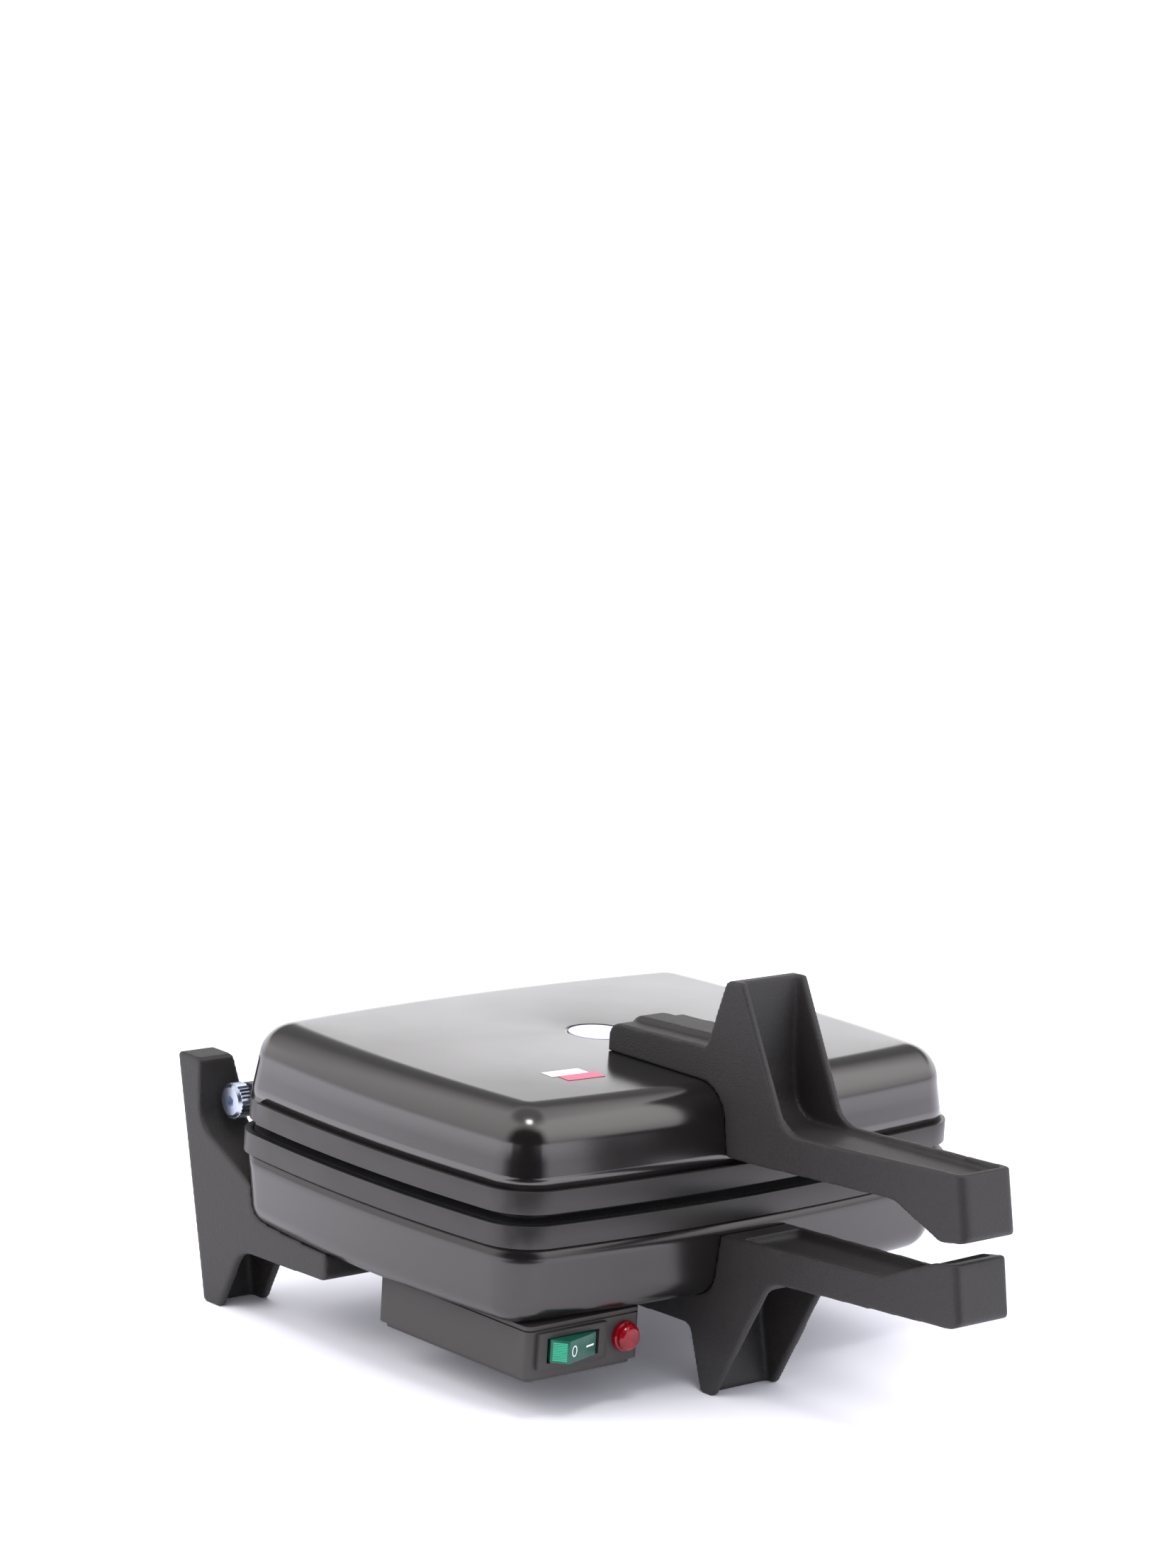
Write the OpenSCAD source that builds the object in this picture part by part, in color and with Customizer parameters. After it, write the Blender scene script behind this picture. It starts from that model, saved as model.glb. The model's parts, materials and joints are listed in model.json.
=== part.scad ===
// Donut maker: two hinged halves with ring moulds, on a front leg and two rear legs.
// X is the width, the handles point towards -Y, Z is up from the table.
// Each half is drawn in its own half space: h is the distance from the parting plane.

/* [Frames and plates] */
// Width of the frames at the middle of their sides
frame_w = 230; // [200:1:280]
// Depth of the frames from the middle of the front to the middle of the back
frame_d = 181; // [165:1:220]
// Corner radius of the frames
frame_corner_r = 19.5; // [14:0.5:26]
// How far the front and back bow outwards
front_bow = 5.5; // [2:0.1:8]
// How far the left and right sides bow outwards
side_bow = 3.7; // [1:0.1:6]
// Height of each frame band
band_h = 8.2; // [6:0.1:12]
// Gap between the two frame bands
band_gap = 4.2; // [2:0.1:6]
// Wall thickness of the frame bands
frame_wall = 3; // [2:0.1:4]
// Height of the parting plane over the table
part_z = 76; // [70:0.5:95]
// Thickness of a plate's rim
rim_t = 4; // [3:0.1:5]

/* [Ring moulds] */
// Rings across the width
ring_cols = 3; // [2:1:3]
// Rings across the depth
ring_rows = 2; // [1:1:2]
// Radius of a ring's centre line
ring_r = 18; // [14:0.5:20]
// Depth of a mould in each plate
ring_depth = 11; // [8:0.5:11]
// Wall under a mould
mould_wall = 2.5; // [2:0.1:3]
// Pitch of the rings across the width
ring_pitch_x = 66; // [60:1:70]
// Pitch of the rings across the depth
ring_pitch_y = 70; // [60:1:72]

/* [Shells] */
// Height of the lid over the parting plane
lid_h = 38.5; // [34:0.5:50]
// Depth of the pan under the parting plane
pan_h = 40.5; // [36:0.5:48]
// Sheet thickness of the shells
shell_t = 1.4; // [1:0.1:2]
// Radius of the lid's rounded edge
lid_edge_r = 14; // [8:0.5:16]
// Radius of the pan's rounded edge
pan_edge_r = 11; // [8:0.5:14]
// How far a shell leans in up to its rounded edge
shell_draft = 2.4; // [1:0.1:4]
// Step from the frame band to the shell
shell_inset = 1.6; // [1:0.1:2.5]

/* [Handles] */
// Length of the grips in front of the frames
grip_len = 114.5; // [95:0.5:140]
// Width of the handles at the body and at the legs
handle_w = 33.2; // [28:0.2:38]
// Width of the handles at the nose
nose_w = 25.5; // [18:0.5:27]
// Wall beside the troughs and leg channels
handle_wall = 3; // [2:0.1:4]
// Length of the strap that runs back over the lid
strap_len = 68.5; // [50:0.5:75]
// Height of the strap over the lid
strap_h = 10.8; // [8:0.1:14]
// Height of the hand guard over the lid
guard_h = 39; // [25:0.5:45]

/* [Rear legs] */
// Width of a rear leg at the foot
leg_w = 23.6; // [20:0.1:28]
// Width of a lid rest at its top
rest_w = 15.6; // [12:0.1:20]
// Distance from the frame's side to the leg's outer face
leg_inset = 10; // [6:0.5:16]

/* [Hinge] */
// Distance from the frame's back to the hinge axis
hinge_back = 10; // [10:0.1:11]
// Height of the hinge axis over the parting plane
hinge_rise = 1.2; // [0:0.1:1.5]
// Diameter of the hinge screws' shaft
hinge_pin_d = 6; // [5:0.1:7]
// Radial running clearance of the hinge and of the rocker
running_fit = 0.05; // [0.02:0.01:0.1]
// Radius of the hinge eyes
eye_r = 6.5; // [6:0.1:7]
// Thickness of a hinge eye
eye_t = 7; // [5:0.1:8]
// Diameter of the knurled heads
knob_d = 13.8; // [11:0.1:14]
// Length of the knurled heads
knob_l = 6; // [4:0.1:7]

/* [Control box] */
// Width of the control box
box_w = 53; // [48:0.5:60]
// Depth of the control box
box_d = 84; // [70:0.5:100]
// Height of the control box
box_h = 19; // [18:0.1:21]
// Wall of the control box
box_wall = 2; // [1.5:0.1:2.5]
// Step from the box's side to its cover
cover_step = 1.8; // [1:0.1:2.5]
// How far the cover stands below the box
cover_drop = 1.8; // [1:0.1:2.5]
// Length of the switch bezel
bezel_w = 31.5; // [29:0.1:32]
// Height of the switch bezel
bezel_h = 13.2; // [12.5:0.1:13.5]
// Diameter of the lamp's collar
lamp_d = 11; // [10:0.1:13]
// Diameter of the cord opening
cord_hole_d = 7.4; // [6:0.1:8]

/* [Hidden] */
$fn = 48;

// Clearance between pieces that are only laid against each other
fit = 0.05;
// Radial clearance around a screw's shank
screw_fit = 0.05;
// Points on a side and on a corner of the outline
side_steps = 10;
corner_steps = 9;
// Points on a rounded corner of a profile
fillet_steps = 6;
// Steps of the shells' rounded edge
edge_steps = 6;
// A length past any surface that a cut goes through
past = 1;
// Depth of the flat seat of the badge and its radius
badge_seat = 0.7;
badge_r = 11.5;
badge_y = 2;

half_w = frame_w / 2;
half_d = frame_d / 2;
// Centres of the outline's corners
corner_x = half_w - side_bow - frame_corner_r;
corner_y = half_d - front_bow - frame_corner_r;
// Radii and half angles of the bowed sides
front_radius = bow_radius(corner_x, front_bow);
side_radius = bow_radius(corner_y, side_bow);
front_angle = asin(corner_x / front_radius);
side_angle = asin(corner_y / side_radius);
// Where the bands start and end, from the parting plane
band_in = band_gap / 2;
band_out = band_in + band_h;
// The rim of a plate rests on a ledge of the frame
ledge_h = band_in + rim_t;
ledge_w = 9;
rim_gap = 0.5;
// The moulding surface stands proud of the rim and ends just short of the parting plane
land_step = 7.5;
land_short = 0.1;
mould_low = ring_depth + mould_wall;
// Heating element
rod_d = 6.5;
rod_h = mould_low + rod_d / 2 + fit;
rod_x = ring_pitch_x;
rod_y = ring_pitch_y / 2;
rod_corner = 18;
rod_gap = 14;
// Clamps, heat shield and their screws
clamp_x = ring_pitch_x / 2;
clamp_y = ring_pitch_y / 2 + 31;
clamp_w = 10;
clamp_t = 1.5;
clamp_h = rod_h + rod_d / 2 + fit;
shield_t = 0.8;
shield_in = 15;
boss_r = 4.5;
plate_screw_d = 4;
screw_head_h = 2.4;
// Shells
flange_w = 10;
lid_top = part_z + lid_h;
pan_z = part_z - pan_h;
// Handle
hw = handle_w / 2;
nose_hw = nose_w / 2;
handle_bottom = 13.3;
grip_h = 27.8;
nose_corner = 3.5;
plan_reach = 150;
// Where the noses reach furthest forward, and how far they lean back from there
nose_low = 9.3;
lower_tip = 20;
upper_lean = 11;
lower_lean = 9.4;
handle_screw_d = 4;
handle_screw_h = 21;
// Hinge
hinge_y = half_d + hinge_back;
hinge_z = part_z + hinge_rise;
eye_gap = 0.3;
ear_x = half_w - 25 - eye_t;
lug_x = ear_x - eye_gap - eye_t;
washer_t = 0.8;
knob_x = ear_x + eye_t + eye_gap + washer_t;
hinge_shaft = knob_x - lug_x;
// Thumbscrew that locks the plate in the lower frame
lock_d = 3;
lock_shaft = 4.2;
lock_head_d = 7;
lock_y = 27;
// Rear legs
leg_x = half_w - leg_inset;
rest_z = part_z + 16.6;
leg_screw_x = leg_x - leg_w / 2 - 1;
leg_screw_y = [half_d - 50, half_d - 32];
// Control box
box_x = -half_w + 18;
box_y = -half_d + 12.6;
box_top = pan_z - fit;
box_z = box_top - box_h;
face_y = box_y;
switch_x = box_x + 3.9 + bezel_w / 2;
switch_z = box_z + 9.9;
lamp_x = switch_x + bezel_w / 2 + 9.8;
lamp_z = switch_z - 0.6;
lamp_cap_r = lamp_d / 2 - 0.6;
bezel_t = 2;
rocker_w = 23.4;
rocker_h = 8.4;
rocker_gap = 0.35;
// The rocker's flat front ends in two ridges, from which its ends slope back into the opening
rocker_tilt = 15;
ridge_x = rocker_w / 2 - 3.4;
ridge_out = 5.6;
rocker_depth = 4;
// The pivots are just behind the bezel's front
pivot_in = -0.2;
pivot_r = 1;
pivot_l = 0.8;
grommet_x = box_x + box_w / 2;
grommet_y = box_y + 45;
grommet_r = 7;
gland_d = 12;
box_corner = 2.6;
// Shadow gap around the box under its top lip
seam_at = 1.4;
seam_h = 0.6;
seam_in = 0.7;
// Lip of the cover, inside the walls
lip_in = box_wall + 0.3;
lip_t = 1.4;
// Lid label
label_x = -53.3;
label_y = -44.7;
label_w = 18.8;
label_d = 13.4;
label_t = 0.15;
box_screw_at = [[box_x + 9, box_y + 32], [box_x + box_w - 9, box_y + box_d - 14]];
// The base's middle line, so that the origin is under the middle of the whole object
rear_y = half_d + 34;
nose_y = -half_d - grip_len;
middle_y = (rear_y + nose_y) / 2;

function bow_radius(chord, bow) = (chord * chord + bow * bow) / (2 * bow);

function arc(x, y, r, from, to, steps) =
    [for (i = [0 : steps - 1]) let (a = from + (to - from) * i / steps) [x + r * cos(a), y + r * sin(a)]];

// Bowed rectangle with round corners, grown by g all round
function outline(g) =
    let (r = frame_corner_r + g, fr = front_radius + r, sr = side_radius + r,
         fy = half_d + g - fr, sx = half_w + g - sr, fa = front_angle, sa = side_angle)
    concat(
        arc(0, -fy, fr, -90 - fa, -90 + fa, side_steps),
        arc(corner_x, -corner_y, r, -90 + fa, -sa, corner_steps),
        arc(sx, 0, sr, -sa, sa, side_steps),
        arc(corner_x, corner_y, r, sa, 90 - fa, corner_steps),
        arc(0, fy, fr, 90 - fa, 90 + fa, side_steps),
        arc(-corner_x, corner_y, r, 90 + fa, 180 - sa, corner_steps),
        arc(-sx, 0, sr, 180 - sa, 180 + sa, side_steps),
        arc(-corner_x, -corner_y, r, 180 + sa, 270 - fa, corner_steps));

function unit(v) = v / norm(v);

// One corner b between a and c, rounded with b's own radius
function rounded_corner(a, b, c) =
    let (at = [b[0], b[1]], r = b[2], u = unit([a[0], a[1]] - at), v = unit([c[0], c[1]] - at),
         half = acos(u * v) / 2, mid = at + unit(u + v) * r / sin(half),
         start = at + u * r / tan(half) - mid, end = at + v * r / tan(half) - mid,
         from = atan2(start[1], start[0]), sweep = (180 - 2 * half) * sign(cross(start, end)))
    [for (i = [0 : fillet_steps]) let (t = from + sweep * i / fillet_steps) mid + r * [cos(t), sin(t)]];

// Polygon of [x, y, radius] corners
function profile(p) =
    [for (i = [0 : len(p) - 1]) each p[i][2] > 0
        ? rounded_corner(p[(i + len(p) - 1) % len(p)], p[i], p[(i + 1) % len(p)])
        : [[p[i][0], p[i][1]]]];

// Levels [h, growth] of a shell's surface, from start to the far side at height
function shell_levels(start, height, inset, edge) =
    concat(
        [[start, -inset], [height - edge, -inset - shell_draft]],
        [for (i = [1 : edge_steps]) let (a = 90 * i / edge_steps)
            [height - edge + edge * sin(a), -inset - shell_draft - edge * (1 - cos(a))]]);

// Solid through outlines grown by each level's second value
module loft(levels) {
    n = len(outline(0));
    last = len(levels) - 1;
    points = [for (level = levels) for (p = outline(level[1])) [p[0], p[1], level[0]]];
    sides = [for (k = [0 : last - 1]) for (i = [0 : n - 1]) let (a = k * n, j = (i + 1) % n)
        each [[a + i, a + n + j, a + j], [a + i, a + n + i, a + n + j]]];
    polyhedron(points, concat([[for (i = [0 : n - 1]) i], [for (i = [n - 1 : -1 : 0]) last * n + i]], sides));
}

module upper_half() translate([0, 0, part_z]) children();

module lower_half() translate([0, 0, part_z]) mirror([0, 0, 1]) children();

// Children drawn in (forward, h) are turned into a slab across X, forward being -Y from the frame's front
module across(half_width) {
    translate([-half_width, -half_d, 0])
        rotate([90, 0, 90])
            mirror([1, 0, 0])
                linear_extrude(2 * half_width) children();
}

module rod(from, length, d) translate(from) cylinder(h = length, d = d);

module screw(d, length) {
    translate([0, 0, -length]) cylinder(h = length, d = d);
    cylinder(h = screw_head_h, d = 2 * d);
}

module at_rings() {
    for (i = [0 : ring_cols - 1], j = [0 : ring_rows - 1])
        translate([(i - (ring_cols - 1) / 2) * ring_pitch_x, (j - (ring_rows - 1) / 2) * ring_pitch_y, 0])
            children();
}

module at_clamp_screws() {
    for (x = [-clamp_x, clamp_x], y = [-clamp_y, clamp_y])
        translate([x, y, 0]) children();
}

module ring(minor) rotate_extrude() translate([ring_r, 0]) circle(r = minor);

module band(from, to, outer, inner) {
    translate([0, 0, from])
        linear_extrude(to - from)
            difference() {
                polygon(outline(outer));
                polygon(outline(inner));
            }
}

// Frame of one half, with its ledge for the plate
module half_frame() {
    band(band_in, band_out, 0, -frame_wall);
    band(ledge_h, band_out, -frame_wall + past, -frame_wall - ledge_w);
}

// A hinge eye on each side, from x outwards; low and high are the arm's edges at the frame
module eyes(x, low, high) {
    for (side = [-1, 1])
        translate([side > 0 ? x : -x - eye_t, 0, 0]) {
            rotate([90, 0, 90])
                linear_extrude(eye_t)
                    polygon([[corner_y, low[0]], [hinge_y, low[1]], [hinge_y, high[1]], [corner_y, high[0]]]);
            translate([0, hinge_y, hinge_rise])
                rotate([0, 90, 0])
                    cylinder(h = eye_t, r = eye_r);
        }
}

module hinge_bore() {
    translate([-half_w, hinge_y, hinge_rise])
        rotate([0, 90, 0])
            cylinder(h = frame_w, r = hinge_pin_d / 2 + running_fit);
}

// Arms of the eyes stay out of the frame's opening
module frame_opening() {
    translate([0, 0, -band_out - past])
        linear_extrude(2 * (band_out + past))
            polygon(outline(-frame_wall + past));
}

// The lid's rests touch the shell, so the band steps back there
module rest_relief() {
    for (side = [-1, 1])
        translate([side > 0 ? half_w - 33 : -half_w, 0, band_in - past])
            difference() {
                cube([33, half_d + past, band_h + 2 * past]);
                translate([side > 0 ? -half_w + 33 : half_w, 0, -past])
                    linear_extrude(band_h + 4 * past)
                        polygon(outline(-shell_inset));
            }
}

module upper_frame() color("#26241f") upper_half() {
    difference() {
        union() {
            difference() {
                half_frame();
                intersection() {
                    rest_relief();
                    translate([-half_w, corner_y, 0]) cube([frame_w, half_d, band_out + past]);
                }
            }
            difference() {
                eyes(ear_x, [band_in, hinge_rise - 4], [band_out - 1, hinge_rise + eye_r]);
                frame_opening();
            }
        }
        hinge_bore();
    }
}

module lower_frame() color("#26241f") difference() {
    union() {
        lower_half() half_frame();
        upper_half()
            difference() {
                eyes(lug_x, [-band_out + 1, hinge_rise - eye_r], [-band_in, -band_in]);
                frame_opening();
            }
    }
    upper_half() hinge_bore();
    lock_screw_place() rod([0, 0, -lock_shaft - past], lock_shaft + 2 * past, lock_d + 2 * screw_fit);
}

// Plate of one half with its ring moulds and the bosses for the clamps
module half_plate() {
    difference() {
        union() {
            translate([0, 0, band_in])
                linear_extrude(rim_t)
                    polygon(outline(-frame_wall - rim_gap));
            translate([0, 0, land_short])
                linear_extrude(ledge_h - land_short)
                    polygon(outline(-frame_wall - rim_gap - land_step));
            intersection() {
                at_rings() ring(ring_depth + mould_wall);
                translate([-half_w, -half_d, ledge_h - past]) cube([frame_w, frame_d, pan_h]);
            }
            at_clamp_screws() rod([0, 0, ledge_h - past], clamp_h - ledge_h + past, 2 * boss_r);
        }
        at_rings() ring(ring_depth);
        at_clamp_screws() rod([0, 0, clamp_h - 10], 10 + past, plate_screw_d + 2 * screw_fit);
    }
}

module half_element() {
    straight_x = rod_x - rod_corner;
    straight_y = rod_y - rod_corner;
    translate([0, 0, rod_h]) {
        for (s = [-1, 1]) {
            translate([s * rod_x, 0, 0])
                rotate([90, 0, 0]) cylinder(h = 2 * straight_y, d = rod_d, center = true);
            translate([s * (rod_gap + straight_x) / 2, rod_y, 0])
                rotate([0, 90, 0]) cylinder(h = straight_x - rod_gap, d = rod_d, center = true);
            for (t = [-1, 1])
                translate([s * straight_x, t * straight_y, 0])
                    mirror([s < 0 ? 1 : 0, 0, 0]) mirror([0, t < 0 ? 1 : 0, 0])
                        rotate_extrude(angle = 90) translate([rod_corner, 0]) circle(d = rod_d);
            // Cold ends turn away from the plate
            translate([s * rod_gap, rod_y, 0]) {
                sphere(d = rod_d);
                cylinder(h = 6, d = rod_d);
                cylinder(h = 13, d = 3);
            }
        }
        translate([0, -rod_y, 0]) rotate([0, 90, 0]) cylinder(h = 2 * straight_x, d = rod_d, center = true);
    }
}

module half_clamps() {
    difference() {
        for (x = [-clamp_x, clamp_x])
            translate([x - clamp_w / 2, -clamp_y - 7, clamp_h])
                cube([clamp_w, 2 * clamp_y + 14, clamp_t]);
        at_clamp_screws() rod([0, 0, clamp_h - past], clamp_t + 2 * past, plate_screw_d + 2 * screw_fit);
    }
}

module half_heat_shield() {
    difference() {
        translate([0, 0, clamp_h + clamp_t])
            linear_extrude(shield_t)
                polygon(outline(-shield_in));
        at_clamp_screws() rod([0, 0, clamp_h], clamp_t + shield_t + past, plate_screw_d + 2 * screw_fit);
        for (s = [-1, 1]) rod([s * rod_gap, rod_y, clamp_h], clamp_t + shield_t + past, rod_d + 4);
    }
}

module half_plate_screws() {
    at_clamp_screws() translate([0, 0, clamp_h + clamp_t + shield_t]) screw(plate_screw_d, 10);
}

module half_shell(height, edge) {
    difference() {
        loft(shell_levels(band_out, height, shell_inset, edge));
        loft(concat([[band_out - past, -shell_inset - shell_t]],
            shell_levels(band_out + shell_t / 2, height - shell_t, shell_inset + shell_t,
                edge - shell_t)));
    }
    band(band_out, band_out + shell_t, -shell_inset - shell_t / 2, -shell_inset - flange_w);
}

// Solid of a whole shell, to cut the seat of what fits against it
module shell_seat(height, edge) {
    loft(concat([[0, -shell_inset + fit]],
        shell_levels(band_out, height + fit, shell_inset - fit, edge)));
}

module lower_shell() color("#2b2724") difference() {
    lower_half() half_shell(pan_h, pan_edge_r);
    at_lower_handle_screws()
        rod([0, 0, -2 * shell_t - past], 2 * shell_t + 2 * past, handle_screw_d + 2 * screw_fit);
    at_leg_screws() rod([0, 0, -2 * shell_t - past], 4 * shell_t, handle_screw_d + 2 * screw_fit);
    at_box_screws() rod([0, 0, -2 * shell_t - past], 4 * shell_t, handle_screw_d + 2 * screw_fit);
    rod([grommet_x, grommet_y, pan_z - past], shell_t + 2 * past, 2 * grommet_r);
}

module upper_shell() color("#2b2724") difference() {
    upper_half() half_shell(lid_h, lid_edge_r);
    rod([0, badge_y, lid_top - badge_seat], badge_seat + past, 2 * badge_r + 1);
    at_upper_handle_screws()
        rod([0, 0, -shell_t - past], shell_t + 2 * past, handle_screw_d + 2 * screw_fit);
}

module lower_plate() color("#3a3936") lower_half() half_plate();
module upper_plate() color("#3a3936") upper_half() half_plate();
module lower_element() color("#8c857a") lower_half() half_element();
module upper_element() color("#8c857a") upper_half() half_element();
module lower_clamps() color("silver") lower_half() half_clamps();
module upper_clamps() color("silver") upper_half() half_clamps();
module lower_heat_shield() color("gainsboro") lower_half() half_heat_shield();
module upper_heat_shield() color("gainsboro") upper_half() half_heat_shield();
module lower_plate_screws() color("silver") lower_half() half_plate_screws();
module upper_plate_screws() color("silver") upper_half() half_plate_screws();

// Bimetal thermostat against the lower plate, with its two tabs
module thermostat() color("#b9b4a8") lower_half() translate([-clamp_x, 0, ledge_h + fit]) {
    cylinder(h = 5, r = 8);
    translate([0, 0, 5]) cylinder(h = 1.5, r = 6);
    for (s = [-1, 1]) translate([s * 3.5 - 0.4, -2, 6]) cube([0.8, 4, 4]);
}

// Thermal fuse in its sleeve against the upper plate
module thermal_fuse() color("#d8d2c0") upper_half() translate([clamp_x, 0, ledge_h + fit + 2])
    rotate([90, 0, 0]) {
        cylinder(h = 14, r = 2, center = true);
        cylinder(h = 26, r = 0.6, center = true);
    }

// Plan of the handles: full width at the body, narrower towards the nose, which leans from tip_h on
module handle_plan(wall, lean, tip_h) {
    corner = max(nose_corner - wall, 0.5);
    translate([0, -half_d - grip_len, tip_h])
        rotate([lean, 0, 0])
            translate([0, 0, -plan_reach])
                linear_extrude(2 * plan_reach)
                    polygon(profile([
                        [-hw + wall, frame_d + grip_len, 0], [-hw + wall, grip_len - 5, 0],
                        [-nose_hw + wall, 0, corner], [nose_hw - wall, 0, corner],
                        [hw - wall, grip_len - 5, 0], [hw - wall, frame_d + grip_len, 0]]));
}

module upper_plan(wall) handle_plan(wall, -upper_lean, nose_low);

module lower_plan(wall) handle_plan(wall, lower_lean, lower_tip);

module handle_screw_holes() rod([0, 0, -12], 12 + past, handle_screw_d + 2 * screw_fit);

module at_upper_handle_screws() {
    for (y = [-half_d + 30, -half_d + 56])
        translate([0, y, lid_top - shell_t]) mirror([0, 0, 1]) children();
}

// The screws' heads are inside the lid and their shanks go up into the strap
module upper_handle() color("#33312b") difference() {
    upper_half() {
        intersection() {
            across(hw) polygon(profile([
                [-strap_len, lid_h / 2, 0],
                [-strap_len, lid_h + strap_h, 5],
                [-16, lid_h + strap_h + 2, 3],
                [-7.6, lid_h + guard_h - 0.5, 1.5],
                [-0.1, lid_h + guard_h, 1.5],
                [25.1, grip_h, 13],
                [grip_len - 4.5, grip_h + 4.6, 1.5],
                [grip_len, nose_low, 2.5],
                [grip_len - 12.5, 7.2, 3],
                [grip_len - 35, 17, 14],
                [8, handle_bottom, 3],
                [-6, handle_bottom, 0]]));
            upper_plan(0);
        }
        // Raised rib along the strap
        across(6.5) polygon(profile([
            [-strap_len + 1.5, lid_h + 4, 0],
            [-strap_len + 1.5, lid_h + strap_h + 2, 4],
            [-14, lid_h + strap_h + 4, 0],
            [-14, lid_h + 4, 0]]));
    }
    upper_half() {
        // Channel of the guard, running into the trough of the grip
        intersection() {
            across(hw) polygon(profile([
                [-2, lid_h + guard_h + past, 0],
                [-1, lid_h + 6.5, 0],
                [2.5, grip_h - 2.6, 12],
                [grip_len - 7.5, grip_h + 1.6, 2],
                [grip_len - 7.5, lid_h + guard_h + past, 0]]));
            upper_plan(handle_wall);
        }
        shell_seat(lid_h, lid_edge_r);
    }
    at_upper_handle_screws() handle_screw_holes();
}

module upper_handle_screws() color("silver")
    at_upper_handle_screws() translate([0, 0, fit]) screw(handle_screw_d, 11);

// How far the pan leans in at h
function pan_lean(h) = shell_draft * (h - band_out) / (pan_h - pan_edge_r - band_out);

module at_lower_handle_screws() {
    inner = shell_inset + shell_t + pan_lean(handle_screw_h + handle_screw_d) + 2 * fit;
    for (x = [-8, 8])
        translate([x, -half_d + inner, part_z - handle_screw_h]) rotate([-90, 0, 0]) children();
}

// Grip with an upturned nose, front leg and the bracket under the pan, in one moulding
module lower_handle() color("#33312b") difference() {
    lower_half() intersection() {
        across(hw) polygon(profile([
            [-6, 16.2, 0],
            [0, 15.6, 0],
            [grip_len - 39, 11.2, 12],
            [grip_len - 15, 0.9, 5],
            [grip_len - 4, -1.2, 1.5],
            [grip_len - 0.5, lower_tip, 2.5],
            [grip_len - 5, 21.9, 3],
            [24, 27.2, 8],
            [-1.5, part_z, 1],
            [-8, part_z, 1],
            [-16, pan_h + 12, 4],
            [-60.5, pan_h + 12.5, 3],
            [-62, pan_h - 4, 0],
            [-20, 30, 0]]));
        lower_plan(0);
    }
    lower_half() {
        // Trough along the top of the grip
        intersection() {
            across(hw) polygon(profile([
                [7, -10, 0],
                [7, 18.3, 2],
                [grip_len - 40.5, 14.1, 10],
                [grip_len - 9.5, 1.5, 4],
                [grip_len - 8.5, -10, 0]]));
            lower_plan(handle_wall);
        }
        // Channel of the leg
        across(hw - handle_wall) polygon(profile([
            [-4.3, part_z + past, 0],
            [-9.8, 52, 0],
            [-9.8, 30.5, 5],
            [30, 30.5, 0],
            [40, part_z + past, 0]]));
        // Hollow under the pan
        across(hw - handle_wall) polygon(profile([
            [-20, pan_h + 4, 3],
            [-20, part_z, 0],
            [-57, part_z, 0],
            [-57, pan_h + 4, 3]]));
        shell_seat(pan_h, pan_edge_r);
    }
    at_lower_handle_screws() rod([0, 0, -14], 14 + past, handle_screw_d + 2 * screw_fit);
}

module lower_handle_screws() color("silver")
    at_lower_handle_screws() screw(handle_screw_d, 13);

module at_leg_screws() {
    for (s = [-1, 1], y = leg_screw_y)
        translate([s * leg_screw_x, y, pan_z + shell_t]) children();
}

// Left rear leg: foot, bracket under the pan and rest for the open lid
module rear_leg() {
    difference() {
        union() {
            difference() {
                intersection() {
                    translate([-leg_x, half_d, 0])
                        rotate([90, 0, 90])
                            linear_extrude(leg_w)
                                polygon(profile([
                                    [0.8, 0, 1], [11, 0, 1], [34, rest_z + 0.3, 1.5], [19.6, rest_z, 1],
                                    [18.2, part_z - 8, 13], [-14, part_z - 23.6, 0], [-40, part_z - 28, 0],
                                    [-62, pan_z + 8, 0], [-63, pan_z - 9.5, 3],
                                    [-10.5, pan_z - 10.9, 9]]));
                    translate([0, half_d + 40, 0])
                        rotate([90, 0, 0])
                            linear_extrude(120)
                                polygon([
                                    [-leg_x, 0], [-leg_x + leg_w, 0], [-leg_x + leg_w, pan_z + 5],
                                    [-leg_x + rest_w + 5, part_z + 2], [-leg_x + rest_w, rest_z + past],
                                    [-leg_x, rest_z + past]]);
                }
                // Channel of the foot and the bracket
                translate([-leg_x + handle_wall, half_d, 0])
                    rotate([90, 0, 90])
                        linear_extrude(leg_w - 2 * handle_wall)
                            polygon(profile([
                                [7.3, -past, 0], [13.5, pan_z - 4.5, 5],
                                [-58, pan_z - 4.5, 3], [-58, -past, 0]]));
            }
            // Bosses for the screws from the pan
            for (y = leg_screw_y)
                rod([-leg_screw_x, y, pan_z - 9.5], 8, 9);
        }
        lower_half() shell_seat(pan_h, pan_edge_r);
        at_leg_screws() rod([0, 0, -16], 16 + past, handle_screw_d + 2 * screw_fit);
    }
}

module rear_leg_left() color("#33312b") rear_leg();
module rear_leg_right() color("#33312b") mirror([1, 0, 0]) rear_leg();
module rear_leg_screws() color("silver") at_leg_screws() screw(handle_screw_d, 9);

module at_box_screws() {
    for (p = box_screw_at)
        translate([p[0], p[1], pan_z + shell_t]) children();
}

// Block as large as the box less step all round, with round upright edges
module box_block(step, low, high) {
    translate([0, 0, low])
        linear_extrude(high - low)
            polygon(profile([
                [box_x + step, box_y + step, box_corner], [box_x + box_w - step, box_y + step, box_corner],
                [box_x + box_w - step, box_y + box_d - step, box_corner],
                [box_x + step, box_y + box_d - step, box_corner]]));
}

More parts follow.
